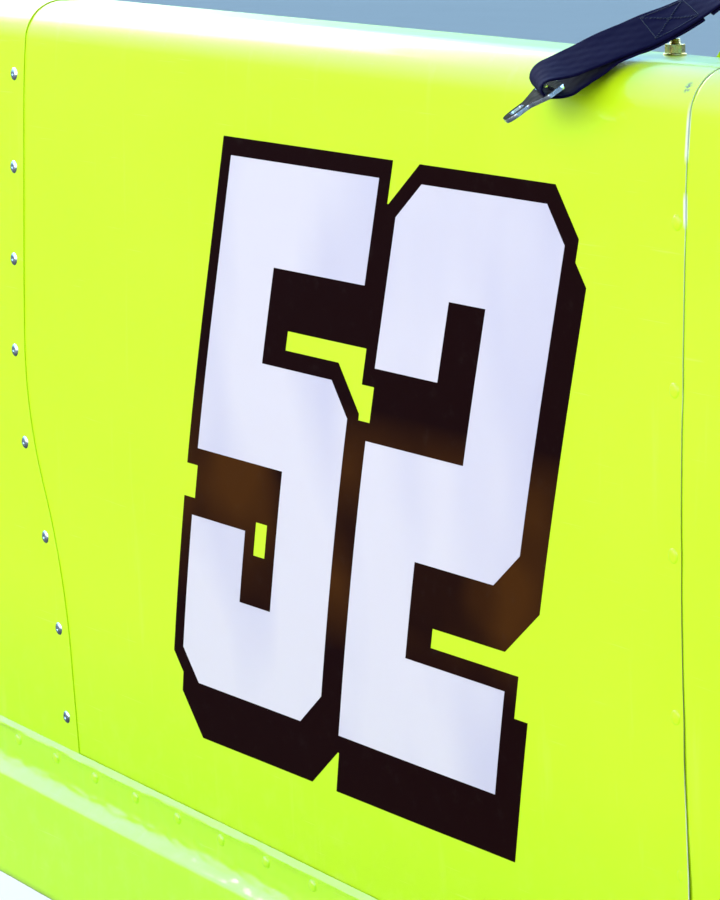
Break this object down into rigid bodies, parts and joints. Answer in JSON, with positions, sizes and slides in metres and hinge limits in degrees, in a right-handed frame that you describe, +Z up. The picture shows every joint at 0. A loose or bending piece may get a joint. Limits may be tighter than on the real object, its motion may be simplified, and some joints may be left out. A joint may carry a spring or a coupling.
{
  "type": "stock car door side panel",
  "caption": "Left door side panel of a stock car: rolled sheet skin between joint strips, with rocker skirt, ribbed inner frame, chassis feet and a harness strap over the sill.",
  "frame": {"origin": "middle of the four chassis bolt holes, in the mounting face of the feet", "axes": "+X rearward along the car, +Y into the car, square to the feet, +Z up"},
  "size_m": [1.102, 0.2507, 0.941],
  "materials": {
    "body_paint": "gloss",
    "skirt_paint": "gloss",
    "frame_coat": "satin",
    "rib_sheet": "mill",
    "stay_steel": "satin",
    "yellow_zinc": "satin",
    "webbing": "woven",
    "bright_plate": "polished"
  },
  "bodies": {
    "panel": {"door_skin": "body_paint", "front_joint_strip": "body_paint", "rear_joint_strip": "body_paint", "window_post_base": "body_paint", "rocker_skirt": "skirt_paint", "sill_rail": "frame_coat", "upper_rail": "frame_coat", "lower_rail": "frame_coat", "bottom_rail": "frame_coat", "standoff_1": "frame_coat", "standoff_2": "frame_coat", "standoff_3": "frame_coat", "standoff_4": "frame_coat", "rib_1": "rib_sheet", "rib_2": "rib_sheet", "rib_3": "rib_sheet", "rib_4": "rib_sheet", "skirt_stay_1": "stay_steel", "skirt_stay_2": "stay_steel", "skirt_stay_3": "stay_steel", "sill_bolt": "yellow_zinc", "sill_nut": "yellow_zinc", "harness_strap": "webbing", "strap_anchor": "bright_plate"},
    "tongue": {"strap_tongue": "bright_plate"}
  },
  "joints": [
    {"name": "tongue_swing", "type": "hinge", "parent": "panel", "child": "tongue", "pos_m": [0.341, -0.216, 0.30312], "axis": [-0.8878, 0.4602, 0], "range_deg": [0, 75]}
  ]
}
